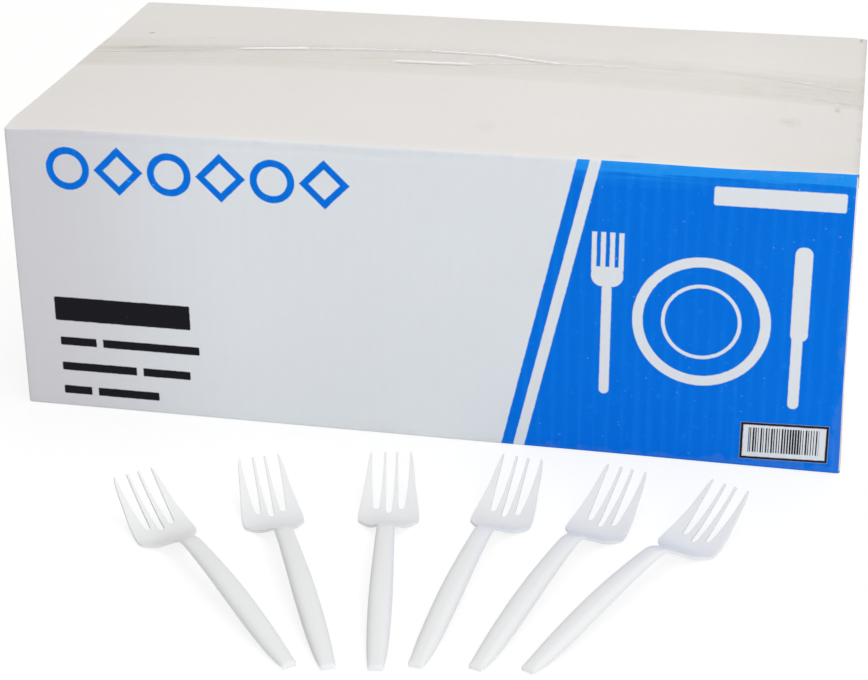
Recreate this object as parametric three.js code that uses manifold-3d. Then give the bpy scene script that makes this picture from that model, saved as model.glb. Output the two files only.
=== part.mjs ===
// Plastic cutlery pack: a taped carton of plastic forks, with six of the forks laid out in front of it.
// Millimetres, +Z up, +X along the carton's long side, -Y towards the forks.
// The origin is the centre of the carton's base.
import * as THREE from "three";
import { mergeVertices } from "three/addons/utils/BufferGeometryUtils.js";
import Module from "manifold-3d";

// Carton
const cartonLength = 381;
const cartonDepth = 209;
const cartonHeight = 139;
const boardThickness = 3;
const cornerRadius = 3;
const foldRadius = 2;
const seamGap = 2.4;
const lidRise = 7;
// The lid's seam lies a little behind the middle.
const lidSeamAt = 13;

// Packing tape over the long seams
const tapeWidth = 48;
const tapeThickness = 0.12;
const tapeLift = 0.2;
const tapeTab = 54;
const tapeBedMargin = 1;

// Fork, measured along its length from the end of the handle or from the tips
const forkLength = 150.5;
const tineLength = 26.4;
const middleSlotExtra = 1.2;
const bowlFromTip = 34.7;
const heelFromTip = 41.9;
const shoulderFromTip = 47.6;
const neckFromTip = 62.8;
const handleWidestAt = 42;
const endRounding = 3;

// Fork, across and upwards
const headWidth = 26.2;
const neckWidth = 7.8;
const handleWidth = 9.6;
const endWidth = 6.3;
const tipSpread = 17.7;
const innerTipSpread = 5.2;
const tipWidth = 1;
const innerTineRootWidth = 2.9;
const slotWidth = 2.6;
const neckHeight = 13.2;
const tipHeight = 15.6;
const headThickness = 1.2;
const tipThickness = 1;
const handleWall = 1.2;
const handleDepth = 3.3;
const endDepth = 2.4;
const neckDepth = 2.5;
const bowlDish = 0.5;

// Fork, how its curves run: powers, and the share of the dish that is gone at the tips
const tineCurve = 1.6;
const archSquareness = 0.75;
const tipFlattening = 0.6;

// How far the cutters for the slots reach past the fork
const cutterMargin = 5;

// Where each fork lies: the handle end's place along X, its distance in front of the carton,
// and how many degrees the fork turns clockwise from pointing straight at the carton.
const forkPlaces = [
  { along: -8.1, before: 200.1, turn: -41.5 },
  { along: 6.5, before: 198.7, turn: -25.5 },
  { along: 24.3, before: 196.2, turn: -10.1 },
  { along: 38.6, before: 191.5, turn: 6.4 },
  { along: 61.2, before: 188.8, turn: 15.5 },
  { along: 80.8, before: 186.6, turn: 25.9 },
];

// How finely the curved faces are divided
const lengthSteps = 12;
const flapSteps = 6;
const tapeSteps = 4;
const cornerSteps = 4;
const acrossSteps = 8;
const slotSteps = 5;

const wasm = await Module();
wasm.setup();

const boardWhite = new THREE.MeshStandardMaterial({ name: "carton_board", color: 0xd9dce0, roughness: 0.85 });
const clearTape = new THREE.MeshStandardMaterial({
  name: "packing_tape",
  color: 0xd8d0be,
  roughness: 0.3,
  transparent: true,
  opacity: 0.5,
});
const whitePlastic = new THREE.MeshStandardMaterial({
  name: "white_plastic",
  color: 0xeeeff0,
  roughness: 0.4,
});

const { clamp, lerp } = THREE.MathUtils;

// Closed solids, joined and cut

function toSolid(geometry) {
  const bare = geometry.clone();
  bare.deleteAttribute("normal");
  bare.deleteAttribute("uv");
  const merged = mergeVertices(bare, 1e-4);
  return new wasm.Manifold(
    new wasm.Mesh({
      numProp: 3,
      vertProperties: merged.attributes.position.array,
      triVerts: new Uint32Array(merged.index.array),
    }),
  );
}

function toGeometry(solid) {
  const mesh = solid.getMesh();
  const geometry = new THREE.BufferGeometry();
  geometry.setAttribute("position", new THREE.BufferAttribute(mesh.vertProperties, 3));
  geometry.setIndex(new THREE.BufferAttribute(mesh.triVerts, 1));
  geometry.computeVertexNormals();
  return geometry;
}

// Moves each vertex to the place that the function gives for it.
function reshape(geometry, place) {
  const positions = geometry.attributes.position;
  const point = new THREE.Vector3();
  for (let i = 0; i < positions.count; i++) {
    point.fromBufferAttribute(positions, i);
    place(point);
    positions.setXYZ(i, point.x, point.y, point.z);
  }
  return geometry;
}

// Extrudes a shape that is drawn in Y and Z along X, centred on the origin.
function extrudeAlongX(shape, length, steps = 1) {
  const geometry = new THREE.ExtrudeGeometry(shape, {
    depth: length,
    steps,
    bevelEnabled: false,
    curveSegments: cornerSteps,
  });
  const turn = new THREE.Matrix4().makeBasis(
    new THREE.Vector3(0, 1, 0),
    new THREE.Vector3(0, 0, 1),
    new THREE.Vector3(1, 0, 0),
  );
  return geometry.applyMatrix4(turn).translate(-length / 2, 0, 0);
}

// Extrudes a shape that is drawn in X and Z along Y, centred on the origin.
function extrudeAlongY(shape, length, steps = 1) {
  const geometry = new THREE.ExtrudeGeometry(shape, {
    depth: length,
    steps,
    bevelEnabled: false,
    curveSegments: cornerSteps,
  });
  return geometry.rotateX(Math.PI / 2).translate(0, length / 2, 0);
}

function roundedRectangle(width, bottom, top, radius) {
  const half = width / 2;
  const shape = new THREE.Shape();
  shape.absarc(half - radius, bottom + radius, radius, -Math.PI / 2, 0, false);
  shape.absarc(half - radius, top - radius, radius, 0, Math.PI / 2, false);
  shape.absarc(radius - half, top - radius, radius, Math.PI / 2, Math.PI, false);
  shape.absarc(radius - half, bottom + radius, radius, Math.PI, 1.5 * Math.PI, false);
  shape.closePath();
  return shape;
}

// Carton

// How far the full contents push the lid up at a place on it.
function lidRiseAt(x, y) {
  const alongShare = (2 * x) / cartonLength;
  const edge = y < lidSeamAt ? -cartonDepth / 2 : cartonDepth / 2;
  const acrossShare = (y - lidSeamAt) / (edge - lidSeamAt);
  return lidRise * Math.max(0, 1 - alongShare ** 2) * Math.max(0, 1 - acrossShare ** 2);
}

const tapeBed = tapeThickness + tapeLift;
const flapEnd = cartonLength / 2 - cornerRadius;
const tabTop = cartonHeight - boardThickness - foldRadius;

// The long walls with their outer flaps: one section along the whole length, with a gap
// between the flaps above and below and a shallow bed for the tape underneath.
function wrapSection() {
  const half = cartonDepth / 2;
  const seam = seamGap / 2;
  const bed = tapeWidth / 2 + tapeBedMargin;
  const flat = half - foldRadius;
  const section = new THREE.Shape();
  section.moveTo(seam, boardThickness);
  section.lineTo(seam, tapeBed);
  section.lineTo(bed, tapeBed);
  section.lineTo(bed, 0);
  section.absarc(flat, foldRadius, foldRadius, -Math.PI / 2, 0, false);
  section.absarc(flat, cartonHeight - foldRadius, foldRadius, 0, Math.PI / 2, false);
  for (let i = flapSteps - 1; i >= 0; i--) {
    section.lineTo(lerp(lidSeamAt + seam, flat, i / flapSteps), cartonHeight);
  }
  section.lineTo(lidSeamAt + seam, cartonHeight - boardThickness);
  section.lineTo(lidSeamAt - seam, cartonHeight - boardThickness);
  for (let i = 0; i < flapSteps; i++) {
    section.lineTo(lerp(lidSeamAt - seam, -flat, i / flapSteps), cartonHeight);
  }
  section.absarc(-flat, cartonHeight - foldRadius, foldRadius, Math.PI / 2, Math.PI, false);
  section.absarc(-flat, foldRadius, foldRadius, Math.PI, 1.5 * Math.PI, false);
  section.lineTo(-bed, 0);
  section.lineTo(-bed, tapeBed);
  section.lineTo(-seam, tapeBed);
  section.lineTo(-seam, boardThickness);
  section.closePath();
  return section;
}

function cartonGeometry() {
  const wrap = extrudeAlongX(wrapSection(), 2 * flapEnd, lengthSteps);
  reshape(wrap, (point) => {
    if (point.z > cartonHeight / 2) point.z += lidRiseAt(point.x, point.y);
  });
  // The end walls turn in under the outer flaps, one board lower.
  const plan = roundedRectangle(cartonLength, -cartonDepth / 2, cartonDepth / 2, cornerRadius);
  const prism = new THREE.ExtrudeGeometry(plan, {
    depth: cartonHeight,
    bevelEnabled: false,
    curveSegments: cornerSteps,
  });
  const endWalls = roundedRectangle(cartonLength, boardThickness, cartonHeight - boardThickness, foldRadius);
  const folded = extrudeAlongY(endWalls, cartonDepth + 2 * boardThickness);
  const core = toSolid(prism).intersect(toSolid(folded));
  return toGeometry(toSolid(wrap).add(core));
}

// The middle line of a tape on one half of the carton, in X and Z: along the lid, round the
// edge of the flaps and down the end wall. It lies on the tape's inner face.
function tapeHalfRoute() {
  const face = cartonHeight + tapeLift;
  const wall = cartonLength / 2 + tapeLift;
  const lidPoints = [];
  for (let i = 0; i < lengthSteps / 2; i++) {
    lidPoints.push(new THREE.Vector2((2 * flapEnd * i) / lengthSteps, face));
  }
  const edge = new THREE.QuadraticBezierCurve(
    new THREE.Vector2(flapEnd, face),
    new THREE.Vector2(wall, face),
    new THREE.Vector2(wall, tabTop),
  );
  return [...lidPoints, ...edge.getPoints(cornerSteps), new THREE.Vector2(wall, cartonHeight - tapeTab)];
}

// A strip of tape over one long seam, with a tab pressed down on each end wall.
// It is drawn on the lid, and the base strip is the same one turned over.
function tapeGeometry(middle, rise) {
  const half = tapeHalfRoute();
  const mirrored = half.slice(1).map((point) => new THREE.Vector2(-point.x, point.y));
  const route = [...mirrored.reverse(), ...half];
  const last = route.length - 1;
  const blank = new THREE.BoxGeometry(1, 1, 1, last, tapeSteps, 1);
  return reshape(blank, (point) => {
    const i = Math.round((point.x + 0.5) * last);
    const along = route[Math.min(last, i + 1)].clone().sub(route[Math.max(0, i - 1)]).normalize();
    const outwards = point.z > 0 ? tapeThickness : 0;
    const y = middle + point.y * tapeWidth;
    const x = route[i].x - along.y * outwards;
    const z = route[i].y + along.x * outwards;
    point.set(x, y, route[i].y > tabTop ? z + rise(x, y) : z);
  });
}

function addCarton(group) {
  const carton = new THREE.Mesh(cartonGeometry(), boardWhite);
  carton.name = "carton";
  const lidTape = new THREE.Mesh(tapeGeometry(lidSeamAt, lidRiseAt), clearTape);
  lidTape.name = "lid_tape";
  const baseTape = new THREE.Mesh(
    tapeGeometry(0, () => 0),
    clearTape,
  );
  baseTape.name = "base_tape";
  baseTape.rotation.x = Math.PI;
  baseTape.position.z = cartonHeight + tapeBed;
  group.add(carton, lidTape, baseTape);
}

// Fork

// A smooth curve through pairs of a place and a value.
function curveThrough(pairs) {
  const places = pairs.map(([place]) => place);
  const values = pairs.map(([, value]) => value);
  const curve = new THREE.CubicInterpolant(places, values, 1, new Float64Array(1));
  return (place) => curve.evaluate(place)[0];
}

function smooth(share) {
  return share * share * (3 - 2 * share);
}

const neckAt = forkLength - neckFromTip;
const shoulderAt = forkLength - shoulderFromTip;
const heelAt = forkLength - heelFromTip;
const bowlAt = forkLength - bowlFromTip;
const rootAt = forkLength - tineLength;

// The fork's outline: a place along it and its width there. The shares lie between named sizes.
const widthAcrossTips = tipSpread + tipWidth;
const widthAt = curveThrough([
  [0, 0.6 * endWidth],
  [endRounding / 3, 0.86 * endWidth],
  [endRounding, endWidth],
  [lerp(0, handleWidestAt, 0.32), lerp(endWidth, handleWidth, 0.6)],
  [handleWidestAt, handleWidth],
  [lerp(handleWidestAt, neckAt, 0.6), lerp(handleWidth, neckWidth, 0.54)],
  [neckAt, neckWidth],
  [lerp(neckAt, shoulderAt, 0.45), neckWidth],
  [shoulderAt, lerp(neckWidth, headWidth, 0.18)],
  [lerp(shoulderAt, heelAt, 0.5), lerp(neckWidth, headWidth, 0.56)],
  [heelAt, 0.91 * headWidth],
  [lerp(heelAt, bowlAt, 0.4), 0.98 * headWidth],
  [bowlAt, headWidth],
  [rootAt, 0.974 * headWidth],
  [lerp(rootAt, forkLength, 0.5), lerp(headWidth, widthAcrossTips, 0.57)],
  [forkLength - 1.5 * tipWidth, widthAcrossTips],
  [forkLength, tipSpread],
]);

const archDepthAt = curveThrough([
  [0, endDepth],
  [handleWidestAt / 2, handleDepth],
  [handleWidestAt, handleDepth],
  [neckAt, neckDepth],
  [shoulderAt, headThickness],
  [forkLength, headThickness],
]);

const wallAt = curveThrough([
  [0, handleWall],
  [neckAt, handleWall],
  [shoulderAt, headThickness],
  [rootAt, headThickness],
  [forkLength, tipThickness],
]);

// Height of the upper face's middle: the handle rises to the neck, falls to the bowl
// and rises again along the tines.
function crownAt(along) {
  const bowlTop = headThickness;
  if (along < neckAt) {
    return endDepth + (neckHeight - endDepth) * Math.sin((Math.PI / 2) * (along / neckAt));
  }
  if (along < bowlAt) {
    return neckHeight + (bowlTop - neckHeight) * smooth((along - neckAt) / (bowlAt - neckAt));
  }
  return bowlTop + (tipHeight - bowlTop) * ((along - bowlAt) / bowlFromTip) ** tineCurve;
}

// From 0 on the arched handle to 1 on the flat head.
function plateShareAt(along) {
  return smooth(clamp((along - neckAt) / (heelAt - neckAt), 0, 1));
}

// How much the outer edges of the head stand above its middle.
function dishAt(along) {
  const rising = clamp((along - shoulderAt) / (bowlAt - shoulderAt), 0, 1);
  const falling = clamp((along - rootAt) / tineLength, 0, 1);
  return bowlDish * smooth(rising) * (1 - tipFlattening * falling);
}

// A place on the fork: across from -1 to 1, along in millimetres, on the upper or lower face.
function forkPoint(across, along, upper) {
  const inset = upper ? 0 : wallAt(along);
  const halfWidth = widthAt(along) / 2;
  const depth = archDepthAt(along);
  const angle = (across * Math.PI) / 2;
  const archX = Math.sign(across) * (halfWidth - inset) * Math.abs(Math.sin(angle)) ** archSquareness;
  const archZ = crownAt(along) - inset - (depth - inset) * (1 - Math.cos(angle) ** archSquareness);
  const plateX = halfWidth * across;
  const plateZ = crownAt(along) - inset + dishAt(along) * across ** 2;
  const share = plateShareAt(along);
  return new THREE.Vector3(lerp(archX, plateX, share), along, lerp(archZ, plateZ, share));
}

function forkStations() {
  const runs = [
    [0, endRounding, 2],
    [endRounding, handleWidestAt, 4],
    [handleWidestAt, neckAt, 5],
    [neckAt, shoulderAt, 5],
    [shoulderAt, bowlAt, 8],
    [bowlAt, rootAt, 2],
    [rootAt, forkLength - 2 * tipWidth, 5],
    [forkLength - 2 * tipWidth, forkLength, 2],
  ];
  const stations = [0];
  for (const [from, to, count] of runs) {
    for (let i = 1; i <= count; i++) stations.push(from + ((to - from) * i) / count);
  }
  return stations;
}

// The outline of one slot between two tines, with a round root, drawn past the tips.
// The two sides give how far each lies from the fork's middle at a share of the tine's length.
function slotShape(leftSide, rightSide, extra = 0) {
  const left = leftSide(0);
  const right = rightSide(0);
  const radius = (right - left) / 2;
  const root = rootAt - extra;
  const shape = new THREE.Shape();
  shape.absarc((left + right) / 2, root + radius, radius, Math.PI, 2 * Math.PI, false);
  const straight = forkLength - root - radius;
  for (let i = 1; i <= slotSteps; i++) {
    shape.lineTo(rightSide(i / slotSteps), root + radius + (straight * i) / slotSteps);
  }
  shape.lineTo(rightSide(1), forkLength + cutterMargin);
  shape.lineTo(leftSide(1), forkLength + cutterMargin);
  for (let i = slotSteps; i >= 1; i--) {
    shape.lineTo(leftSide(i / slotSteps), root + radius + (straight * i) / slotSteps);
  }
  shape.closePath();
  return shape;
}

// Tines are widest at the root and thin out quickly, then slowly, towards the tip.
function tineSide(atRoot, atTip) {
  return (share) => atTip + (atRoot - atTip) * (1 - share) ** tineCurve;
}

function slotCutters() {
  const innerFarRoot = slotWidth / 2 + innerTineRootWidth;
  const innerNear = tineSide(slotWidth / 2, (innerTipSpread - tipWidth) / 2);
  const innerFar = tineSide(innerFarRoot, (innerTipSpread + tipWidth) / 2);
  const outerNear = tineSide(innerFarRoot + slotWidth, (tipSpread - tipWidth) / 2);
  const mirrored = (side) => (share) => -side(share);
  return [
    slotShape(mirrored(innerNear), innerNear, middleSlotExtra),
    slotShape(innerFar, outerNear),
    slotShape(mirrored(outerNear), mirrored(innerFar)),
  ].map((shape) => {
    const cutter = new THREE.ExtrudeGeometry(shape, {
      depth: tipHeight + bowlDish + 2 * cutterMargin,
      bevelEnabled: false,
      curveSegments: cornerSteps,
    });
    return toSolid(cutter.translate(0, 0, -cutterMargin));
  });
}

function forkGeometry() {
  const stations = forkStations();
  const alongSteps = stations.length - 1;
  const blank = new THREE.BoxGeometry(2, 1, 1, acrossSteps, alongSteps, 1);
  reshape(blank, (point) => {
    const station = stations[Math.round((point.y + 0.5) * alongSteps)];
    point.copy(forkPoint(point.x, station, point.z > 0));
  });
  let fork = toSolid(blank);
  for (const cutter of slotCutters()) fork = fork.subtract(cutter);
  const geometry = toGeometry(fork);
  geometry.computeBoundingBox();
  return geometry.translate(0, 0, -geometry.boundingBox.min.z);
}

function addForks(group) {
  const geometry = forkGeometry();
  forkPlaces.forEach(({ along, before, turn }, i) => {
    const fork = new THREE.Mesh(geometry, whitePlastic);
    fork.name = `fork_${i + 1}`;
    fork.position.set(along, -cartonDepth / 2 - before, 0);
    fork.rotation.z = -THREE.MathUtils.degToRad(turn);
    group.add(fork);
  });
}

const pack = new THREE.Group();
addCarton(pack);
addForks(pack);

export default pack;
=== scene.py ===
"""Plastic cutlery pack: a taped carton of disposable forks, with six of them laid out in front.

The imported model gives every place. This script dresses it: a printed board carton with real
flaps, two strips of clear tape and six moulded forks, on a plain white stage.
Sizes are in millimetres and become metres when they are written into a mesh. The stage is in metres.
"""

import logging
import math
from collections.abc import Callable
from dataclasses import dataclass
from enum import Enum
from functools import reduce
from itertools import pairwise

import bmesh
import bpy
from mathutils import Matrix, Vector, noise


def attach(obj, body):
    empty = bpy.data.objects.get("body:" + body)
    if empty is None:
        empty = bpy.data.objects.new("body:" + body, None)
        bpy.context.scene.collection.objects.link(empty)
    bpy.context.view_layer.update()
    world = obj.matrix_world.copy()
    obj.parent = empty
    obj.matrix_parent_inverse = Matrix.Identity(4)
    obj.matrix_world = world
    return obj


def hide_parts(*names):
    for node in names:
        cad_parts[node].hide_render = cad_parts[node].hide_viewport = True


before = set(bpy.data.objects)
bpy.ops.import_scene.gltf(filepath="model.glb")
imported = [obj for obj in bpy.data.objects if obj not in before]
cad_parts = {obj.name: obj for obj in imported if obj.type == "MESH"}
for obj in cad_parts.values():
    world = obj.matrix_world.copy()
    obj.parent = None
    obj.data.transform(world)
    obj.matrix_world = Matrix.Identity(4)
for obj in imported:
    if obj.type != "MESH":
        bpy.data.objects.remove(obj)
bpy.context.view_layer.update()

MM = 0.001
# A difference in millimetres that counts as none
SAME = 0.01
# Past the edge of a slot, whose places run from -1 to 1
NO_SLOT = 2.0
WHITE = (1.0, 1.0, 1.0, 1.0)
ROOT = "root"
LOG = logging.getLogger("cutlery_pack")

Colour = tuple[float, float, float]
Place = Callable[[int, int], Vector]


# Shader graphs


class Wire:
    """One output of a shader's nodes, for use in plain sums."""

    def __init__(self, graph: "Graph", socket: bpy.types.NodeSocket) -> None:
        """Keep the graph and the output."""
        self.graph = graph
        self.socket = socket

    def __add__(self, other: "Wire | float") -> "Wire":
        """Add a value."""
        return self.graph.math("ADD", self, other)

    __radd__ = __add__

    def __sub__(self, other: "Wire | float") -> "Wire":
        """Take a value away."""
        return self.graph.math("SUBTRACT", self, other)

    def __rsub__(self, other: float) -> "Wire":
        """Take this away from a number."""
        return self.graph.math("SUBTRACT", other, self)

    def __mul__(self, other: "Wire | float") -> "Wire":
        """Multiply by a value."""
        return self.graph.math("MULTIPLY", self, other)

    __rmul__ = __mul__

    def __truediv__(self, other: "Wire | float") -> "Wire":
        """Divide by a value."""
        return self.graph.math("DIVIDE", self, other)

    def __pow__(self, other: float) -> "Wire":
        """Raise to a power."""
        return self.graph.math("POWER", self, other)

    def __abs__(self) -> "Wire":
        """Drop the sign."""
        return self.graph.math("ABSOLUTE", self)

    def clamped(self) -> "Wire":
        """Hold the value between 0 and 1."""
        return self.graph.math("ADD", self, 0.0, clamp=True)


@dataclass(frozen=True)
class Bar:
    """A rectangle: its middle, its size and the radius of its corners."""

    middle: tuple[float, float]
    size: tuple[float, float]
    radius: float = 0.0


class Graph:
    """The nodes of one material, or of the world."""

    def __init__(self, owner: "bpy.types.Material | bpy.types.World") -> None:
        """Start an empty shader.

        Args:
            owner: The material or the world that shows it.
        """
        owner.use_nodes = True
        self.owner = owner
        self.tree = owner.node_tree
        self.tree.nodes.clear()

    def add(self, kind: str, settings: dict | None = None, inputs: dict | None = None) -> bpy.types.Node:
        """Add a node.

        Args:
            kind: The node's type.
            settings: Its settings, set before its sockets.
            inputs: Values or wires by the socket's name or number.

        Returns:
            The new node.
        """
        node = self.tree.nodes.new(kind)
        for name, value in (settings or {}).items():
            setattr(node, name, value)
        for name, value in (inputs or {}).items():
            if isinstance(value, Wire):
                self.tree.links.new(value.socket, node.inputs[name])
            else:
                node.inputs[name].default_value = value
        return node

    def wire(
        self,
        kind: str,
        settings: dict | None = None,
        inputs: dict | None = None,
        output: int | str = 0,
    ) -> Wire:
        """Add a node and take one of its outputs."""
        return Wire(self, self.add(kind, settings, inputs).outputs[output])

    def math(self, operation: str, *values: "Wire | float", clamp: bool = False) -> Wire:
        """Add one sum on values."""
        settings = {"operation": operation, "use_clamp": clamp}
        return self.wire("ShaderNodeMath", settings, dict(enumerate(values)))

    def least(self, *values: "Wire | float") -> Wire:
        """The smallest of some values."""
        return reduce(lambda a, b: self.math("MINIMUM", a, b), values)

    def most(self, *values: "Wire | float") -> Wire:
        """The largest of some values."""
        return reduce(lambda a, b: self.math("MAXIMUM", a, b), values)

    def mix(
        self,
        share: "Wire | float",
        first: "Wire | Colour",
        second: "Wire | Colour",
        blend: str = "MIX",
    ) -> Wire:
        """Blend two colours."""
        inputs = {0: share, 6: _paint(first), 7: _paint(second)}
        return self.wire("ShaderNodeMix", {"data_type": "RGBA", "blend_type": blend}, inputs, 2)

    def tint(self, colour: "Wire | Colour", factor: Wire) -> Wire:
        """Multiply a colour by a number."""
        grey = self.wire("ShaderNodeCombineXYZ", None, {0: factor, 1: factor, 2: factor})
        return self.mix(1.0, colour, grey, "MULTIPLY")

    def millimetres(self, origin: tuple[float, float, float] = (0.0, 0.0, 0.0)) -> Wire:
        """The place on the piece.

        Args:
            origin: The point that it is counted from, in millimetres.

        Returns:
            The place in millimetres.
        """
        inputs = {
            "Vector": self.wire("ShaderNodeTexCoord", output="Object"),
            "Location": tuple(-value for value in origin),
            "Scale": (1 / MM, 1 / MM, 1 / MM),
        }
        return self.wire("ShaderNodeMapping", None, inputs)

    def stretched(self, place: Wire, scale: tuple[float, float, float]) -> Wire:
        """A place multiplied along each axis, for patterns that run one way."""
        return self.wire("ShaderNodeMapping", None, {"Vector": place, "Scale": scale})

    def axes(self, place: Wire) -> tuple[Wire, ...]:
        """The three numbers of a place."""
        outputs = self.add("ShaderNodeSeparateXYZ", None, {0: place}).outputs
        return tuple(Wire(self, output) for output in outputs)

    def noise(self, place: Wire, size: float, detail: float = 2.0) -> Wire:
        """Smooth noise around 0.5, with clumps of about that size."""
        inputs = {"Vector": place, "Scale": 1.0 / size, "Detail": detail}
        return self.wire("ShaderNodeTexNoise", None, inputs)

    def wave(self, place: Wire, pitch: float, phase: "Wire | float" = 0.0) -> Wire:
        """A sine along a coordinate, with that pitch."""
        return self.math("SINE", place * (2 * math.pi / pitch) + phase)

    def attribute(self, name: str) -> Wire:
        """A number that the mesh carries."""
        return self.wire("ShaderNodeAttribute", {"attribute_name": name}, output="Fac")

    def bump(self, height: Wire, strength: float = 1.0) -> Wire:
        """A surface normal from a height in millimetres."""
        return self.wire("ShaderNodeBump", None, {"Strength": strength, "Distance": MM, "Height": height})

    def inside(self, distance: Wire, soft: float) -> Wire:
        """1 where a distance is below zero and 0 where it is above, over a soft edge."""
        return (0.5 - distance / soft).clamped()

    def disc(self, x: Wire, y: Wire, radius: float) -> Wire:
        """The distance to a disc around zero."""
        return (x * x + y * y) ** 0.5 - radius

    def sides(self, x: Wire, y: Wire, bar: Bar) -> list[Wire]:
        """How far a place lies outside a bar along each axis, without its round corners."""
        spans = zip((x, y), bar.middle, bar.size)
        return [abs(place - middle) - (size / 2 - bar.radius) for place, middle, size in spans]

    def block(self, x: Wire, y: Wire, bar: Bar) -> Wire:
        """The distance to a bar with sharp corners."""
        return self.most(*self.sides(x, y, bar))

    def pill(self, x: Wire, y: Wire, bar: Bar) -> Wire:
        """The distance to a bar with round corners."""
        over_x, over_y = (self.most(side, 0.0) for side in self.sides(x, y, bar))
        return self.disc(over_x, over_y, bar.radius)

    def seen(self) -> Wire:
        """Where the camera looks, itself or by way of a reflection or clear plastic.

        Returns:
            1 for such rays and 0 for others.
        """
        rays = self.add("ShaderNodeLightPath").outputs
        names = ("Is Camera Ray", "Is Glossy Ray", "Is Transmission Ray")
        return self.most(*(Wire(self, rays[name]) for name in names))

    def show(self, shader: Wire) -> "bpy.types.Material | bpy.types.World":
        """Send a shader to the output.

        Args:
            shader: The last node's output.

        Returns:
            The finished material or world.
        """
        in_world = isinstance(self.owner, bpy.types.World)
        kind = "ShaderNodeOutputWorld" if in_world else "ShaderNodeOutputMaterial"
        self.add(kind, None, {"Surface": shader})
        return self.owner

    def surface(self, inputs: dict) -> bpy.types.Material:
        """Finish the material with one shader that has those inputs."""
        return self.show(self.wire("ShaderNodeBsdfPrincipled", None, inputs))


def new_graph(name: str) -> Graph:
    """The graph of a new material."""
    return Graph(bpy.data.materials.new(name))


def _paint(value: "Wire | Colour") -> "Wire | tuple":
    """A colour socket's value: a wire as it is, or three numbers with an alpha."""
    return value if isinstance(value, Wire) else (*value, 1.0)


# Meshes


def mapped_grid(
    mesh: bmesh.types.BMesh,
    columns: int,
    rows: int,
    place: Place,
    finish: Callable[[int, int], int] | None = None,
) -> None:
    """Add a grid whose vertices go where a function says.

    Args:
        mesh: The mesh to add to.
        columns: Number of faces along the first direction.
        rows: Number of faces along the second direction.
        place: Gives a point in millimetres for a column and a row.
        finish: Gives the number of a face's material for its column and row.
    """
    made = bmesh.ops.create_grid(mesh, x_segments=columns, y_segments=rows, size=1.0)
    if finish is not None:
        for face in {face for vert in made["verts"] for face in vert.link_faces}:
            middle = face.calc_center_median()
            column = int((middle.x + 1) / 2 * columns)
            face.material_index = finish(column, int((middle.y + 1) / 2 * rows))
    for vert in made["verts"]:
        column = round((vert.co.x + 1) / 2 * columns)
        row = round((vert.co.y + 1) / 2 * rows)
        vert.co = place(column, row) * MM


def finish_piece(
    name: str, mesh: bmesh.types.BMesh, materials: list[bpy.types.Material]
) -> bpy.types.Object:
    """Turn a mesh into a smooth-shaded object at the origin.

    Args:
        name: The piece's name.
        mesh: The mesh, which is freed.
        materials: Materials in the order of the faces' numbers.

    Returns:
        The new object.
    """
    data = bpy.data.meshes.new(name)
    for face in mesh.faces:
        face.smooth = True
    mesh.to_mesh(data)
    mesh.free()
    for material in materials:
        data.materials.append(material)
    piece = bpy.data.objects.new(name, data)
    bpy.context.scene.collection.objects.link(piece)
    LOG.info("%s: %d faces", name, len(data.polygons))
    return piece


def declare(piece: bpy.types.Object, slot: str, *nodes: str) -> None:
    """Hang a piece on the pack's one body and hide the nodes that it stands for.

    Args:
        piece: The piece, which rides on the pack's one body.
        slot: A name for its finish; not used.
        nodes: The nodes that it stands for.
    """
    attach(piece, ROOT)
    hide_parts(*nodes)


def lerp(start: float, end: float, share: float) -> float:
    """A value between two others."""
    return start + (end - start) * share


def smooth(share: float) -> float:
    """An S-curve from 0 to 1, flat at both ends."""
    held = min(1.0, max(0.0, share))
    return held * held * (3 - 2 * held)


@dataclass(frozen=True)
class Drift:
    """Smooth noise between -1 and 1: the size of its waves, and which slice of the noise it is."""

    size: float
    slice: float

    def at(self, x: float, y: float) -> float:
        """The noise at a place."""
        return noise.noise(Vector((x / self.size, y / self.size, self.slice)))


# Print on the front


@dataclass(frozen=True)
class PlaceSetting:
    """A plate between a fork and a knife, from the plate's middle. Its lines are half widths."""

    middle: tuple[float, float] = (318.0, 71.0)
    radius: float = 28.0
    rim: float = 2.3
    well_share: float = 0.6
    well_rim: float = 0.8
    reach: float = 42.0
    tine_pitch: float = 4.0
    tine: float = 1.1
    tines: Bar = Bar((0.0, -30.0), (14.2, 18.0))
    palm: Bar = Bar((0.0, -19.0), (14.2, 11.0), 5.2)
    palm_top: float = -22.8
    stem: Bar = Bar((0.0, 11.78), (4.4, 52.44), 2.1)
    blade: Bar = Bar((0.6, -15.96), (7.6, 44.08), 3.6)
    grip: Bar = Bar((0.0, 19.76), (4.8, 36.48), 2.2)

    def distance(self, graph: Graph, across: Wire, down: Wire) -> Wire:
        """The distance to the sign.

        Args:
            graph: The material's graph.
            across: Millimetres from the front's left edge.
            down: Millimetres from the top fold.

        Returns:
            The distance, below zero inside.
        """
        x = across - self.middle[0]
        y = down - self.middle[1]
        fork_x = x + self.reach
        knife_x = x - self.reach
        tines = graph.math("PINGPONG", fork_x + 1.5 * self.tine_pitch, self.tine_pitch / 2) - self.tine
        return graph.least(
            abs(graph.disc(x, y, self.radius)) - self.rim,
            abs(graph.disc(x, y, self.well_share * self.radius)) - self.well_rim,
            graph.most(tines, graph.block(fork_x, y, self.tines)),
            graph.most(graph.pill(fork_x, y, self.palm), self.palm_top - y),
            graph.pill(fork_x, y, self.stem),
            graph.pill(knife_x, y, self.blade),
            graph.pill(knife_x, y, self.grip),
        )


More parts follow.
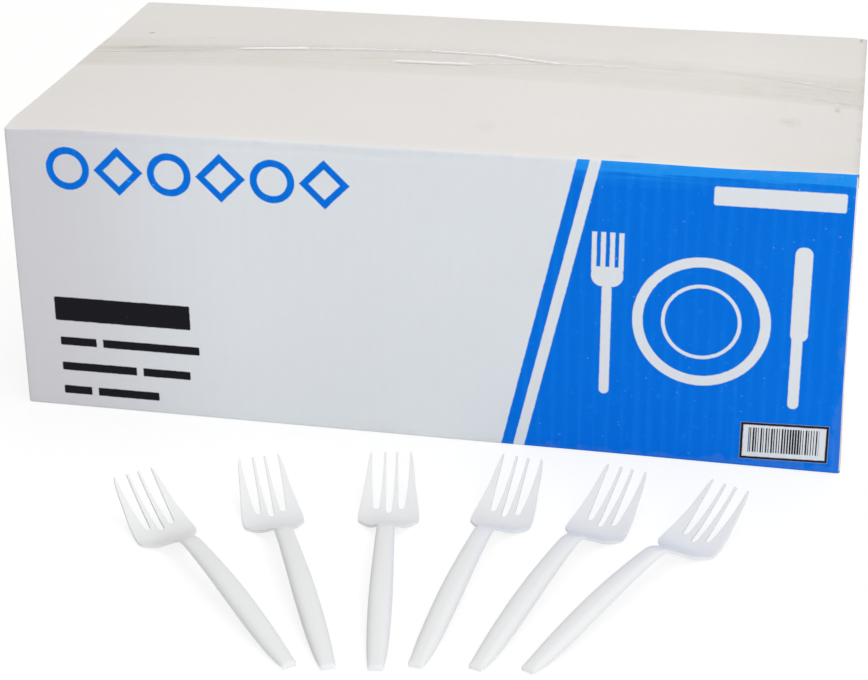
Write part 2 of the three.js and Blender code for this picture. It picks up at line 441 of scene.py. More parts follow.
@dataclass(frozen=True)
class Motif:
    """A row of rings and lozenges by turns. Their lines are half widths."""

    start: float = 17.0
    pitch: float = 24.0
    count: int = 6
    middle: float = 18.5
    window: float = 30.0
    ring_radius: float = 8.6
    ring_line: float = 1.7
    lozenge_reach: float = 9.4
    lozenge_line: float = 1.6
    lozenge_slant: float = 0.7071

    def distance(self, graph: Graph, across: Wire, down: Wire) -> Wire:
        """The distance to the row's lines.

        Args:
            graph: The material's graph.
            across: Millimetres from the front's left edge.
            down: Millimetres from the top fold.

        Returns:
            The distance, below zero inside.
        """
        steps = (across - self.start) / self.pitch
        number = graph.math("FLOOR", steps)
        local = (steps - number - 0.5) * self.pitch
        drop = down - self.middle
        odd = graph.math("MODULO", number, 2.0)
        ring = abs(graph.disc(local, drop, self.ring_radius)) - self.ring_line
        lozenge = abs(abs(local) + abs(drop) - self.lozenge_reach) * self.lozenge_slant - self.lozenge_line
        run = self.count * self.pitch
        window = Bar((self.start + run / 2, self.middle), (run, self.window))
        return graph.most(ring * (1 - odd) + lozenge * odd, graph.block(across, down, window))


@dataclass(frozen=True)
class ThinRow:
    """A row of two thin bars: its middle, its width and where the gap between them is."""

    middle: tuple[float, float]
    width: float
    gap_at: float


@dataclass(frozen=True)
class FrontPrint:
    """The generic print on the front, in millimetres from its left edge and its top fold."""

    field_top: float = 272.0
    field_bottom: float = 240.0
    stripe_gap: float = 5.0
    stripe: float = 5.5
    top_bar: Bar = Bar((349.0, 12.0), (56.0, 8.5), 1.0)
    label: Bar = Bar((357.3, 126.9), (38.8, 17.8))
    label_slope: float = 0.027
    label_drop: float = 1.3
    label_border: float = 1.2
    lines: Bar = Bar((357.0, 126.4), (31.0, 12.0))
    line_pitch: float = 1.16
    thinnest_line: float = 0.28
    line_spread: float = 0.5
    line_edge: float = 0.25
    heavy_bar: Bar = Bar((50.0, 88.5), (66.0, 12.0), 0.8)
    row_height: float = 4.2
    row_corner: float = 0.6
    half_gap: float = 1.6
    rows: tuple[ThinRow, ...] = (
        ThinRow((52.7, 105.0), 68.2, 38.0),
        ThinRow((50.2, 118.0), 63.2, 57.0),
        ThinRow((42.2, 130.2), 47.2, 34.0),
    )
    setting: PlaceSetting = PlaceSetting()
    motif: Motif = Motif()
    edge: float = 0.45

    def masks(
        self, graph: Graph, x: Wire, across: Wire, down: Wire, height: float
    ) -> tuple[Wire, Wire]:
        """Where the front is blue and where it is black.

        Args:
            graph: The material's graph.
            x: Millimetres from the left edge.
            across: The same, as the ink's edges waver.
            down: Millimetres from the top fold, wavering too.
            height: The front's height.

        Returns:
            The share of blue and of black ink, from 0 to 1.
        """
        soft = self.edge
        slope = (self.field_bottom - self.field_top) / height
        edge = across - self.field_top - down * slope
        field = graph.inside(0 - edge, soft)
        stripe = graph.inside(abs(edge + self.stripe_gap + self.stripe / 2) - self.stripe / 2, soft)
        white = graph.inside(self.setting.distance(graph, across, down), soft)
        top_bar = graph.inside(graph.pill(across, down, self.top_bar), soft)
        tilted = down + (x - self.label.middle[0]) * self.label_slope + self.label_drop
        label = graph.block(across, tilted, self.label)
        label_mask = graph.inside(label, soft)
        blue = field * (1 - graph.most(white, top_bar, label_mask)) + stripe
        blue = graph.most(blue, graph.inside(self.motif.distance(graph, across, down), soft))
        black = label_mask * graph.inside(0 - label - self.label_border, soft)
        black = graph.most(black, self.label_lines(graph, x, tilted))
        black = graph.most(black, graph.inside(graph.pill(across, down, self.heavy_bar), soft))
        for row in self.rows:
            bar = Bar(row.middle, (row.width, self.row_height), self.row_corner)
            gap = graph.inside(abs(across - row.gap_at) - self.half_gap, soft)
            black = graph.most(black, graph.inside(graph.pill(across, down, bar), soft) * (1 - gap))
        return blue.clamped(), black.clamped()

    def label_lines(self, graph: Graph, x: Wire, down: Wire) -> Wire:
        """Upright lines of chance widths on the label, which mean nothing.

        Args:
            graph: The material's graph.
            x: Millimetres from the left edge.
            down: Millimetres down the tilted label.

        Returns:
            1 on a line, else 0.
        """
        turn = x / self.line_pitch
        cell = graph.math("FLOOR", turn)
        chance = graph.wire("ShaderNodeTexWhiteNoise", {"noise_dimensions": "1D"}, {"W": cell})
        thick = self.thinnest_line + chance * self.line_spread
        block = graph.inside(graph.block(x, down, self.lines), self.edge)
        return block * graph.inside(turn - cell - thick, self.line_edge)


# Carton


class Panel(Enum):
    """The finishes of the board, in the order of the carton's material slots."""

    FRONT = 0
    LID = 1
    SIDE = 2
    CUT = 3


@dataclass(frozen=True)
class Spot:
    """A soft stain on the lid: its place from the middle, its size and how dark it is."""

    x: float
    y: float
    length: float
    width: float
    strength: float


@dataclass(frozen=True)
class Pull:
    """A place that handling moved: where it is, how far round it reaches and how far it went."""

    at: tuple[float, float, float]
    reach: tuple[float, float, float]
    move: tuple[float, float, float]

    def apply(self, point: Vector) -> Vector:
        """How far the pull moves a point."""
        shares = [smooth(1 - abs(a - b) / r) for a, b, r in zip(point, self.at, self.reach)]
        return Vector(self.move) * math.prod(shares)


@dataclass(frozen=True)
class BoardFinish:
    """White-lined corrugated board, matt, with the flutes showing through faintly."""

    # The board's white is warmed a little by painted top light; the front's white is a cooler, darker copy
    # of it, painted shade of the front wall
    white: Colour = (0.757, 0.735, 0.720)
    front_shaded_white: Colour = (0.708, 0.725, 0.742)
    # The grey of the painted shade at the front's left end
    front_painted_shade: Colour = (0.629, 0.613, 0.635)
    kraft: Colour = (0.36, 0.25, 0.155)
    dirt: Colour = (0.42, 0.36, 0.30)
    blue: Colour = (0.0, 0.150, 0.672)
    thin_blue: Colour = (0.014, 0.268, 0.800)
    black: Colour = (0.010, 0.010, 0.013)
    flute_pitch: float = 6.3
    roughness: float = 0.72
    cut_roughness: float = 0.9
    gloss: float = 0.04
    lid_wear: float = 0.14
    side_wear: float = 0.35
    front_wear: float = 0.05
    wear_patch: float = 9.0
    wear_level: float = 0.52
    wear_reach: float = 14.0
    wear_edge: float = 1.6
    thin_to: float = 6.5
    thin_fades: float = 9.0
    rubbed_to: float = 4.4
    rubbed_ragged: float = 7.0
    rubbed_edge: float = 1.6


@dataclass(frozen=True)
class Carton:
    """The sealed carton: one scored and folded sheet of board."""

    length: float = 381.0
    depth: float = 209.0
    height: float = 139.0
    board: float = 3.0
    corner: float = 1.8
    fold: float = 1.3
    seam_gap: float = 0.04
    open_seam: float = 0.5
    open_from: float = -115.0
    open_run: float = 25.0
    flap_overhang: float = 1.7
    seam_at: float = 13.0
    rise: float = 7.0
    bed_depth: float = 0.32
    bed_half: float = 26.0
    bed_ramp: float = 1.5
    end_clearance: float = 0.3
    end_flap: float = 92.0
    squeezed: float = 0.9
    weld: float = 0.02
    long_steps: int = 96
    short_steps: int = 52
    wall_steps: int = 32
    fine_steps: int = 9
    fine_height: float = 10.0
    flap_steps: int = 28
    end_flap_steps: int = 8
    corner_steps: int = 5
    corner_power: int = 4
    sharp_from: float = 0.7
    face_depth: float = 0.5
    lid_wave: float = 0.22
    lid_wave_low: float = 0.4
    lid_wave_reach: float = 12.0
    lid_drift: Drift = Drift(46.0, 3.1)
    bow: float = 0.35
    bow_even: float = 0.8
    long_drift: Drift = Drift(70.0, 8.4)
    end_drift: Drift = Drift(60.0, 5.7)
    crease_face: float = 1.5
    crease_start: float = 4.0
    crease_grows: float = 20.0
    crease_end: float = 250.0
    crease_fades: float = 60.0
    crease_below: float = 4.2
    crease_sway: float = 0.8
    crease_depth: float = 0.75
    crease_even: float = 0.6
    crease_uneven: float = 0.5
    crease_width: float = 1.3
    crease_drift: Drift = Drift(30.0, 2.2)
    sway_drift: Drift = Drift(55.0, 6.6)
    dent: float = 0.5
    dent_reach: tuple[float, float, float] = (3.5, 5.0, 14.0)
    # How far from the left end the front's painted shade reaches
    painted_shade_reach: float = 110.0
    shaded_from: float = 130.0
    shaded_run: float = 60.0
    finish: BoardFinish = BoardFinish()
    print: FrontPrint = FrontPrint()
    pulls: tuple[Pull, ...] = (
        Pull((190.5, -104.5, 0.0), (420.0, 60.0, 139.0), (1.2, -2.5, 0.0)),
        Pull((190.5, -104.5, 0.0), (130.0, 40.0, 45.0), (0.6, -0.9, 0.0)),
        Pull((190.5, -104.5, 139.0), (60.0, 40.0, 60.0), (0.0, 0.0, 1.1)),
        Pull((20.0, -104.5, 139.0), (270.0, 34.0, 55.0), (0.0, 0.0, 1.1)),
        Pull((-190.5, -104.5, 70.0), (40.0, 50.0, 150.0), (-0.6, 0.0, 0.0)),
        Pull((-190.5, -104.5, 139.0), (30.0, 16.0, 40.0), (0.0, 0.0, -1.3)),
        Pull((-190.5, 104.5, 139.0), (290.0, 60.0, 80.0), (0.0, 0.0, 0.9)),
    )
    stains: tuple[Spot, ...] = (
        Spot(-169.7, 46.0, 3.4, 2.8, 1.0),
        Spot(-166.0, 100.0, 16.0, 3.0, 0.14),
        Spot(-166.0, 20.0, 22.0, 5.0, 0.45),
        Spot(-140.0, 14.0, 60.0, 10.0, 0.16),
        Spot(158.5, -41.5, 9.0, 12.0, 0.22),
        Spot(179.1, -17.4, 3.0, 9.0, 0.4),
        Spot(187.5, 99.0, 2.2, 7.0, 0.8),
        Spot(92.0, -99.0, 10.0, 4.0, 0.12),
        Spot(26.0, -74.0, 9.0, 14.0, 0.07),
    )

    def lid_rise(self, x: float, y: float) -> float:
        """How far the contents push the lid up.

        Args:
            x: The place along the carton.
            y: The place across it.

        Returns:
            The rise in millimetres, the most at the seam.
        """
        edge = -self.depth / 2 if y < self.seam_at else self.depth / 2
        across = (y - self.seam_at) / (edge - self.seam_at)
        along = 2 * x / self.length
        return self.rise * max(0.0, 1 - along * along) * max(0.0, 1 - across * across)

    def crease(self, x: float, z: float) -> float:
        """How deep the crease under the front fold is.

        Args:
            x: The place along the carton.
            z: The height on the front wall.

        Returns:
            The depth in millimetres.
        """
        from_left = x + self.length / 2
        start = smooth((from_left - self.crease_start) / self.crease_grows)
        end = smooth((self.crease_end - from_left) / self.crease_fades)
        uneven = self.crease_even + self.crease_uneven * self.crease_drift.at(x, 0)
        depth = self.crease_depth * start * end * uneven
        middle = self.crease_below + self.crease_sway * self.sway_drift.at(x, 0)
        return depth * math.exp(-(((self.height - z - middle) / self.crease_width) ** 2))

    def settle(self, point: Vector) -> Vector:
        """Move a point of the flat-sided carton by its bulge, waves, creases and pulls.

        Args:
            point: The point in millimetres.

        Returns:
            Where it lies on the used carton.
        """
        x, y, z = point
        half_length = self.length / 2
        half_depth = self.depth / 2
        if z > self.height - self.board - self.fold - self.end_clearance and abs(x) <= half_length:
            near_fold = smooth(1 - (self.height - z) / self.lid_wave_reach) if z < self.height else 1.0
            z += near_fold * self.lid_wave * (self.lid_drift.at(x, y) - self.lid_wave_low)
        if z >= self.height - self.face_depth:
            z += self.lid_rise(x, y)
        if z < self.height - self.fold:
            bow = self.bow * math.sin(math.pi * max(0.0, z) / self.height)
            if abs(y) > half_depth - self.face_depth:
                y -= math.copysign(bow * (self.bow_even + self.long_drift.at(x, z)), y)
            if abs(x) > half_length - self.face_depth:
                x -= math.copysign(bow * (self.bow_even + self.end_drift.at(y, z)), x)
            if y < -half_depth + self.crease_face:
                y += self.crease(x, z)
        along, across, down = self.dent_reach
        far = math.exp(-(((x - half_length) / along) ** 2) - ((y - half_depth) / across) ** 2)
        z -= self.dent * far * smooth(1 - (self.height - z) / down)
        settled = Vector((x, y, z))
        return settled + sum((pull.apply(point) for pull in self.pulls), Vector())

    def perimeter(self) -> list[tuple[float, float, float, float]]:
        """Places round the walls.

        Returns:
            X and Y of each place, and the heights where the wall starts and ends there.
        """
        flat_x = self.length / 2 - self.corner
        flat_y = self.depth / 2 - self.corner
        long_low = self.fold
        long_high = self.height - self.fold
        end_low = self.board + self.end_clearance + self.fold
        end_high = self.height - self.board - self.end_clearance - self.fold
        ring = []
        for turn in range(4):
            along_x = turn % 2 == 0
            steps = self.long_steps if along_x else self.short_steps
            low, high = (long_low, long_high) if along_x else (end_low, end_high)
            next_low, next_high = (end_low, end_high) if along_x else (long_low, long_high)
            angle = turn * math.pi / 2
            half_run = flat_x if along_x else flat_y
            reach = (flat_y if along_x else flat_x) + self.corner
            for step in range(steps):
                run = lerp(-half_run, half_run, step / steps)
                ring.append((*_turned(run, -reach, angle), low, high))
            for step in range(self.corner_steps):
                share = step / self.corner_steps
                bend = share * math.pi / 2
                x = half_run + self.corner * math.sin(bend)
                y = -reach + self.corner * (1 - math.cos(bend))
                if along_x:
                    step_down = share**self.corner_power
                else:
                    step_down = 1 - (1 - share) ** self.corner_power
                lowest = lerp(low, next_low, step_down)
                highest = lerp(high, next_high, step_down)
                ring.append((*_turned(x, y, angle), lowest, highest))
        ring.append(ring[0])
        return ring

    def wall_share(self, row: int) -> float:
        """How far up the wall a row lies, finer near the top.

        Args:
            row: The row's number from the bottom.

        Returns:
            The share of the wall's height, from 0 to 1.
        """
        fine = self.fine_height / self.height
        if row <= self.wall_steps:
            return (1 - fine) * row / self.wall_steps
        return lerp(1 - fine, 1, (row - self.wall_steps) / self.fine_steps)

    def add_walls(self, mesh: bmesh.types.BMesh) -> None:
        """Add the four walls as one ring.

        Args:
            mesh: The mesh to add to.
        """
        ring = self.perimeter()

        def place(column: int, row: int) -> Vector:
            """A point of the ring."""
            x, y, low, high = ring[column]
            return self.settle(Vector((x, y, lerp(low, high, self.wall_share(row)))))

        columns = len(ring) - 1
        turned_in = self.corner_steps // 2

        def finish(column: int, row: int) -> int:
            """Print on the front, round to the middle of its corners."""
            front = column < self.long_steps + turned_in or column >= columns - turned_in
            return (Panel.FRONT if front else Panel.SIDE).value

        mapped_grid(mesh, columns, self.wall_steps + self.fine_steps, place, finish)

    def add_long_flap(self, mesh: bmesh.types.BMesh, side: int, top: bool) -> None:
        """Add one outer flap, from its fold to the seam.

        Args:
            mesh: The mesh to add to.
            side: -1 at the front, 1 at the back.
            top: Whether it is a lid flap or one below.
        """
        flat_x = self.length / 2 - self.corner
        over = [flat_x + self.flap_overhang * share for share in (0.5, 0.8, 1.0)]
        inner = [lerp(-flat_x, flat_x, i / self.long_steps) for i in range(self.long_steps + 1)]
        columns = [*(-x for x in reversed(over)), *inner, *over]

        def place(column: int, row: int) -> Vector:
            """A point of the flap.

            Args:
                column: The column, along the fold.
                row: The row, from the wall to the flap's edge.

            Returns:
                The point in millimetres.
            """
            x = columns[column]
            past = max(0.0, abs(x) - flat_x)
            cut = self.corner - math.sqrt(self.corner**2 - past**2)
            flat_y = self.depth / 2 - self.fold - cut
            gap = self.seam_gap + self.open_seam * smooth((self.open_from - x) / self.open_run)
            seam = (self.seam_at if top else 0.0) + side * gap / 2
            if row <= self.corner_steps:
                bend = row / self.corner_steps * math.pi / 2
                y = side * (flat_y + self.fold * math.cos(bend))
                lift = self.fold * (math.sin(bend) - 1)
            else:
                y = lerp(side * flat_y, seam, (row - self.corner_steps) / self.flap_steps)
                lift = 0.0
            if top:
                return self.settle(Vector((x, y, self.height + lift)))
            bed = self.bed_depth * smooth((self.bed_half - abs(y)) / self.bed_ramp)
            return self.settle(Vector((x, y, bed - lift)))

        outside = Panel.LID if top else Panel.SIDE
        turned_in = Panel.FRONT if side < 0 else Panel.SIDE

        def finish(column: int, row: int) -> int:
            """The wall's finish on the first half of the fold, then the flap's own."""
            return (turned_in if row <= self.corner_steps // 2 else outside).value

        mapped_grid(mesh, len(columns) - 1, self.corner_steps + self.flap_steps, place, finish)

    def add_end_flap(self, mesh: bmesh.types.BMesh, side: int, top: bool) -> None:
        """Add one inner flap, which lies under the outer ones.

        Args:
            mesh: The mesh to add to.
            side: -1 at the left end, 1 at the right end.
            top: Whether it is an upper flap or one below.
        """
        flat_x = self.length / 2 - self.fold
        flat_y = self.depth / 2 - self.corner
        level = self.board + self.end_clearance
        steps = self.corner_steps + self.end_flap_steps

        def place(column: int, row: int) -> Vector:
            """A point of the flap.

            Args:
                column: The column, along the fold.
                row: The row, from the wall to the flap's edge.

            Returns:
                The point in millimetres.
            """
            y = lerp(-flat_y, flat_y, column / self.short_steps)
            if row <= self.corner_steps:
                bend = row / self.corner_steps * math.pi / 2
                x = flat_x + self.fold * math.cos(bend)
                drop = level + self.fold * (1 - math.sin(bend))
            else:
                x = flat_x - self.end_flap * (row - self.corner_steps) / self.end_flap_steps
                drop = level
            z = self.height - drop if top else drop
            flat = Vector((side * x, y, z))
            return self.settle(flat) if row == 0 else flat

        mapped_grid(mesh, self.short_steps, steps, place, lambda column, row: Panel.SIDE.value)

    def thicken(self, mesh: bmesh.types.BMesh) -> None:
        """Give the folded sheet its thickness inwards and mark the cut edges.

        Args:
            mesh: The folded sheet's outer face.
        """
        bmesh.ops.remove_doubles(mesh, verts=mesh.verts[:], dist=self.weld * MM)
        bmesh.ops.recalc_face_normals(mesh, faces=mesh.faces[:])
        mesh.normal_update()
        outermost = max(mesh.faces, key=lambda face: face.calc_center_median().x)
        if outermost.normal.x < 0:
            bmesh.ops.reverse_faces(mesh, faces=mesh.faces[:])
            mesh.normal_update()
        depth = mesh.verts.layers.float.new("depth")
        inwards = {vert.co.to_tuple(7): self.inner_side(vert) for vert in mesh.verts}
        outer = set(mesh.verts)
        made = bmesh.ops.extrude_face_region(mesh, geom=mesh.faces[:], use_keep_orig=True)
        for part in made["geom"]:
            if isinstance(part, bmesh.types.BMVert):
                part.co = inwards[part.co.to_tuple(7)]
                part[depth] = 1.0
        bmesh.ops.recalc_face_normals(mesh, faces=mesh.faces[:])
        for face in mesh.faces:
            if not all(vert in outer for vert in face.verts):
                face.material_index = Panel.CUT.value
        for edge in mesh.edges:
            edge.smooth = edge.calc_face_angle(0.0) < self.sharp_from

    def inner_side(self, vert: bmesh.types.BMVert) -> Vector:
        """Where a point of the outer face lies on the inner face.

        Args:
            vert: The point on the outer face.

        Returns:
            The place on the inner face, in metres.
        """
        x, y, z = vert.co / MM
        near_lid = min(abs(z - self.height), abs(z))
        near_long = self.depth / 2 - abs(y)
        near_end = self.length / 2 - abs(x)
        thickness = self.board
        if near_lid < self.fold and near_long < self.fold:
            thickness = self.squeezed * self.fold
        elif near_long < self.corner and near_end < self.corner:
            thickness = self.squeezed * self.corner
        elif near_end < self.fold and near_lid < self.board + 2 * self.fold:
            thickness = self.squeezed * self.fold
        return vert.co - vert.normal * thickness * MM

    def plain_board(self, graph: Graph, place: Wire, flutes_along: Wire) -> tuple[Wire, Wire]:
        """The plain board that every panel shares.

        Args:
            graph: The material's graph.
            place: The place in millimetres.
            flutes_along: The coordinate that crosses the flutes.

        Returns:
            The board's brightness around 1 and its height in millimetres.
        """
        drift = graph.noise(place, 34.0, 2.0)
        flutes = graph.wave(flutes_along, self.finish.flute_pitch, drift * 1.2)
        clouds = graph.noise(place, 60.0, 3.0)
        mottle = graph.noise(place, 7.0, 3.0)
        fibres = graph.noise(place, 0.9, 2.0)
        shade = 1 + (clouds - 0.5) * 0.045 + (mottle - 0.5) * 0.022 + (fibres - 0.5) * 0.03
        shade = shade + flutes * (0.001 + clouds * 0.004)
        height = flutes * 0.002 + mottle * 0.06 + fibres * 0.010
        return shade, height

    def matt(
        self, graph: Graph, colour: Wire, roughness: "Wire | float", height: Wire
    ) -> bpy.types.Material:
        """Finish a paper surface, which has almost no gloss.

        Args:
            graph: The material's graph.
            colour: The surface's colour.
            roughness: Its roughness.
            height: Its height in millimetres.

        Returns:
            The finished material.
        """
        return graph.surface(
            {
                "Base Color": colour,
                "Roughness": roughness,
                "Specular IOR Level": self.finish.gloss,
                "Normal": graph.bump(height),
            }
        )

    def worn(self, graph: Graph, place: Wire) -> Wire:
        """Where the folds and corners are rubbed.

        Args:
            graph: The material's graph.
            place: The place in millimetres.

        Returns:
            The wear, from 0 to 1.
        """
        x, y, z = graph.axes(place)
        to_end = self.length / 2 - abs(x)
        to_long = self.depth / 2 - abs(y)
        to_lid = graph.least(abs(self.height - z), abs(z))
        nearest = to_end + to_long + to_lid - graph.most(to_end, to_long, to_lid)
        patches = graph.noise(place, self.finish.wear_patch, 4.0)
        reach = (patches - self.finish.wear_level) * self.finish.wear_reach
        return graph.inside(nearest - reach, self.finish.wear_edge)

    def lid_material(self) -> bpy.types.Material:
        """The lid: white board warmed by painted top light, with a few stains, rubbed folds and painted
        shade towards its right end.

        Returns:
            The material.
        """
        graph = new_graph("board_lid")
        place = graph.millimetres()
        x, y, _ = graph.axes(place)
        shade, height = self.plain_board(graph, place, x)
        shaded = ((x - self.shaded_from) / self.shaded_run).clamped()
        colour = graph.tint(self.finish.white, shade - shaded * 0.05)
        ragged = graph.noise(place, 3.5, 3.0)
        for stain in self.stains:
            across = (x - stain.x) / (stain.length / 2)
            down = (y - stain.y) / (stain.width / 2)
            distance = graph.disc(across, down, 0.75) - (ragged - 0.5) * 1.6
            colour = graph.mix(graph.inside(distance, 0.9) * stain.strength, colour, self.finish.dirt)
        colour = graph.mix(self.worn(graph, place) * self.finish.lid_wear, colour, self.finish.dirt)
        rim = graph.inside(self.length / 2 - 1.6 - x - (ragged - 0.5) * 4, 2.4) * 0.22
        colour = graph.mix(rim, colour, self.finish.dirt)
        return self.matt(graph, colour, self.finish.roughness, height)

    def side_material(self) -> bpy.types.Material:
        """The back, the ends and the underside: the same board without print.

        Returns:
            The material.
        """
        graph = new_graph("board_side")
        place = graph.millimetres()
        x, y, _ = graph.axes(place)
        on_end = graph.inside(self.length / 2 - abs(x) - 0.8, 0.8)
        shade, height = self.plain_board(graph, place, x * (1 - on_end) + y * on_end)
        colour = graph.tint(self.finish.white, shade)
        scuffs = graph.noise(graph.stretched(place, (0.3, 0.3, 1.0)), 6.0, 4.0)
        colour = graph.mix(((scuffs - 0.62) * 3).clamped() * 0.25, colour, self.finish.dirt)
        colour = graph.mix(self.worn(graph, place) * self.finish.side_wear, colour, self.finish.dirt)
        return self.matt(graph, colour, self.finish.roughness, height)

    def cut_material(self) -> bpy.types.Material:
        """The cut edge: two thin liners with brown flutes between them, and painted shade in the cavities.

        Returns:
            The material.
        """
        graph = new_graph("board_cut")
        place = graph.millimetres()
        x, y, _ = graph.axes(place)
        depth = graph.attribute("depth")
        wave = graph.wave(x + y, self.finish.flute_pitch)
        flute = graph.inside(abs(depth - 0.52 - wave * 0.32) - 0.07, 0.05)
        liner = graph.inside(depth - 0.14, 0.04)
        inner = graph.inside(0.88 - depth, 0.04)
        fibres = graph.noise(place, 0.7, 3.0)
        # Painted shade: the cavities between the flutes are dark kraft
        shaded_hollow = graph.tint(self.finish.kraft, 0.35 + fibres * 0.3)
        paper = graph.tint(self.finish.kraft, 0.75 + fibres * 0.5)
        colour = graph.mix(graph.most(flute, inner), shaded_hollow, paper)
        colour = graph.mix(liner, colour, self.finish.white)
        return self.matt(graph, colour, self.finish.cut_roughness, fibres * 0.12)

    def front_material(self) -> bpy.types.Material:
        """The front: the print over the board, with painted shade towards its left end.

        Returns:
            The material.
        """
        graph = new_graph("board_front")
        finish = self.finish
        place = graph.millimetres()
        x, _, up = graph.axes(graph.millimetres((-self.length / 2, 0.0, self.height)))
        wobble = (graph.noise(place, 2.2, 2.0) - 0.5) * 0.35
        across = x + wobble
        down = wobble - up
        shade, height = self.plain_board(graph, place, x)
        blue, black = self.print.masks(graph, x, across, down, self.height)
        specks = ((graph.noise(place, 1.7, 1.0) - 0.75) * 9).clamped() * 0.3
        # Painted shade: the front turns darker and greyer towards its left end
        near_end = (1 - across / self.painted_shade_reach).clamped()
        painted_shade_end = near_end * near_end * (3 - near_end * 2)
        colour = graph.tint(graph.mix(painted_shade_end, finish.front_shaded_white, finish.front_painted_shade), shade)
        ink = graph.mix(self.thin_ink(graph, place, x, down), finish.blue, finish.thin_blue)
        colour = graph.mix(blue * (1 - specks), colour, graph.tint(ink, 1 + (shade - 1) * 2))
        colour = graph.mix(black * (1 - specks * 0.2), colour, finish.black)
        colour = graph.mix(self.worn(graph, place) * finish.front_wear, colour, finish.dirt)
        rough = finish.roughness - (blue + black).clamped() * 0.12
        return self.matt(graph, colour, rough, height)

    def thin_ink(self, graph: Graph, place: Wire, x: Wire, down: Wire) -> Wire:
        """Where the ink is thin: near the fold, where it is rubbed, and between the flutes.

        Args:
            graph: The material's graph.
            place: The place in millimetres.
            x: Millimetres from the left edge.
            down: Millimetres from the top fold.

        Returns:
            How thin it is, from 0 to 1.
        """
        finish = self.finish
        pitch = finish.flute_pitch
        streaks = graph.noise(graph.stretched(place, (1.0, 1.0, 0.06)), 1.6, 2.0)
        smears = graph.noise(graph.stretched(place, (0.05, 1.0, 1.0)), 2.0, 3.0)
        near_fold = graph.inside(down - finish.thin_to, finish.thin_fades)
        ragged = (smears - 0.5) * finish.rubbed_ragged
        rubbed = graph.inside(down - finish.rubbed_to - ragged, finish.rubbed_edge)
        thin = near_fold * (0.4 + (smears - 0.5) * 2.2) + rubbed * 0.75 + (streaks - 0.5) * 0.35
        thin = thin + graph.wave(x, pitch, 0.6) * 0.05 + graph.wave(x, pitch / 2) * 0.02 + 0.02
        faint = ((graph.noise(place, 4.0, 4.0) - 0.62) * 8).clamped() * 0.25
        return (thin.clamped() + faint).clamped()

    def build(self) -> None:
        mesh = bmesh.new()
        self.add_walls(mesh)
        for side in (-1, 1):
            for top in (True, False):
                self.add_long_flap(mesh, side, top)
                self.add_end_flap(mesh, side, top)
        self.thicken(mesh)
        materials = [self.front_material(), self.lid_material(), self.side_material(), self.cut_material()]
        declare(finish_piece("printed_carton", mesh, materials), "carton_board", "carton")


def _turned(x: float, y: float, angle: float) -> tuple[float, float]:
    """A point turned about the origin."""
    return x * math.cos(angle) - y * math.sin(angle), x * math.sin(angle) + y * math.cos(angle)


# Tape


@dataclass(frozen=True)
class Wrinkle:
    """A ridge in the tape between two places: its width, its height and how strong its painted glint is.
    """

    start: tuple[float, float]
    end: tuple[float, float]
    width: float
    height: float
    painted_glint: float


LID_WRINKLES = (
    Wrinkle((-176.0, 17.5), (-12.0, 19.5), 1.0, 0.5, 0.05),
    Wrinkle((-115.0, 15.8), (-78.0, 17.4), 1.1, 0.6, 0.9),
    Wrinkle((-82.0, 17.4), (-20.0, 19.6), 0.8, 0.3, 0.35),
    Wrinkle((-34.0, 1.1), (6.0, 1.7), 1.3, 0.8, 0.85),
    Wrinkle((2.0, 1.4), (44.0, 10.6), 0.8, 0.4, 0.2),
    Wrinkle((-22.0, 20.2), (19.0, 17.6), 0.9, 0.7, 0.55),
    Wrinkle((12.0, 18.6), (48.0, 10.6), 1.1, 0.8, 0.85),
    Wrinkle((42.0, 11.4), (80.0, 13.9), 0.8, 0.5, 0.3),
    Wrinkle((77.0, 14.2), (112.0, 17.8), 0.9, 0.4, 0.06),
    Wrinkle((104.0, 2.0), (111.2, 17.0), 0.9, 0.6, 0.0),
    Wrinkle((122.0, 21.0), (151.0, 17.6), 0.8, 0.3, 0.12),
    Wrinkle((149.0, 17.6), (186.0, 11.0), 1.0, 0.6, 0.2),
    Wrinkle((168.0, -5.0), (186.0, -8.5), 1.0, 0.5, 0.18),
)


@dataclass(frozen=True)
class FilmFinish:
    """Clear tape, slightly yellow where its glue is thick, with white painted glints along its wrinkles.
    """

    clear: Colour = (0.50, 0.475, 0.45)
    yellow: Colour = (0.60, 0.52, 0.37)
    # The white of the painted glints
    white: Colour = (0.97, 0.97, 0.965)
    roughness: float = 0.16


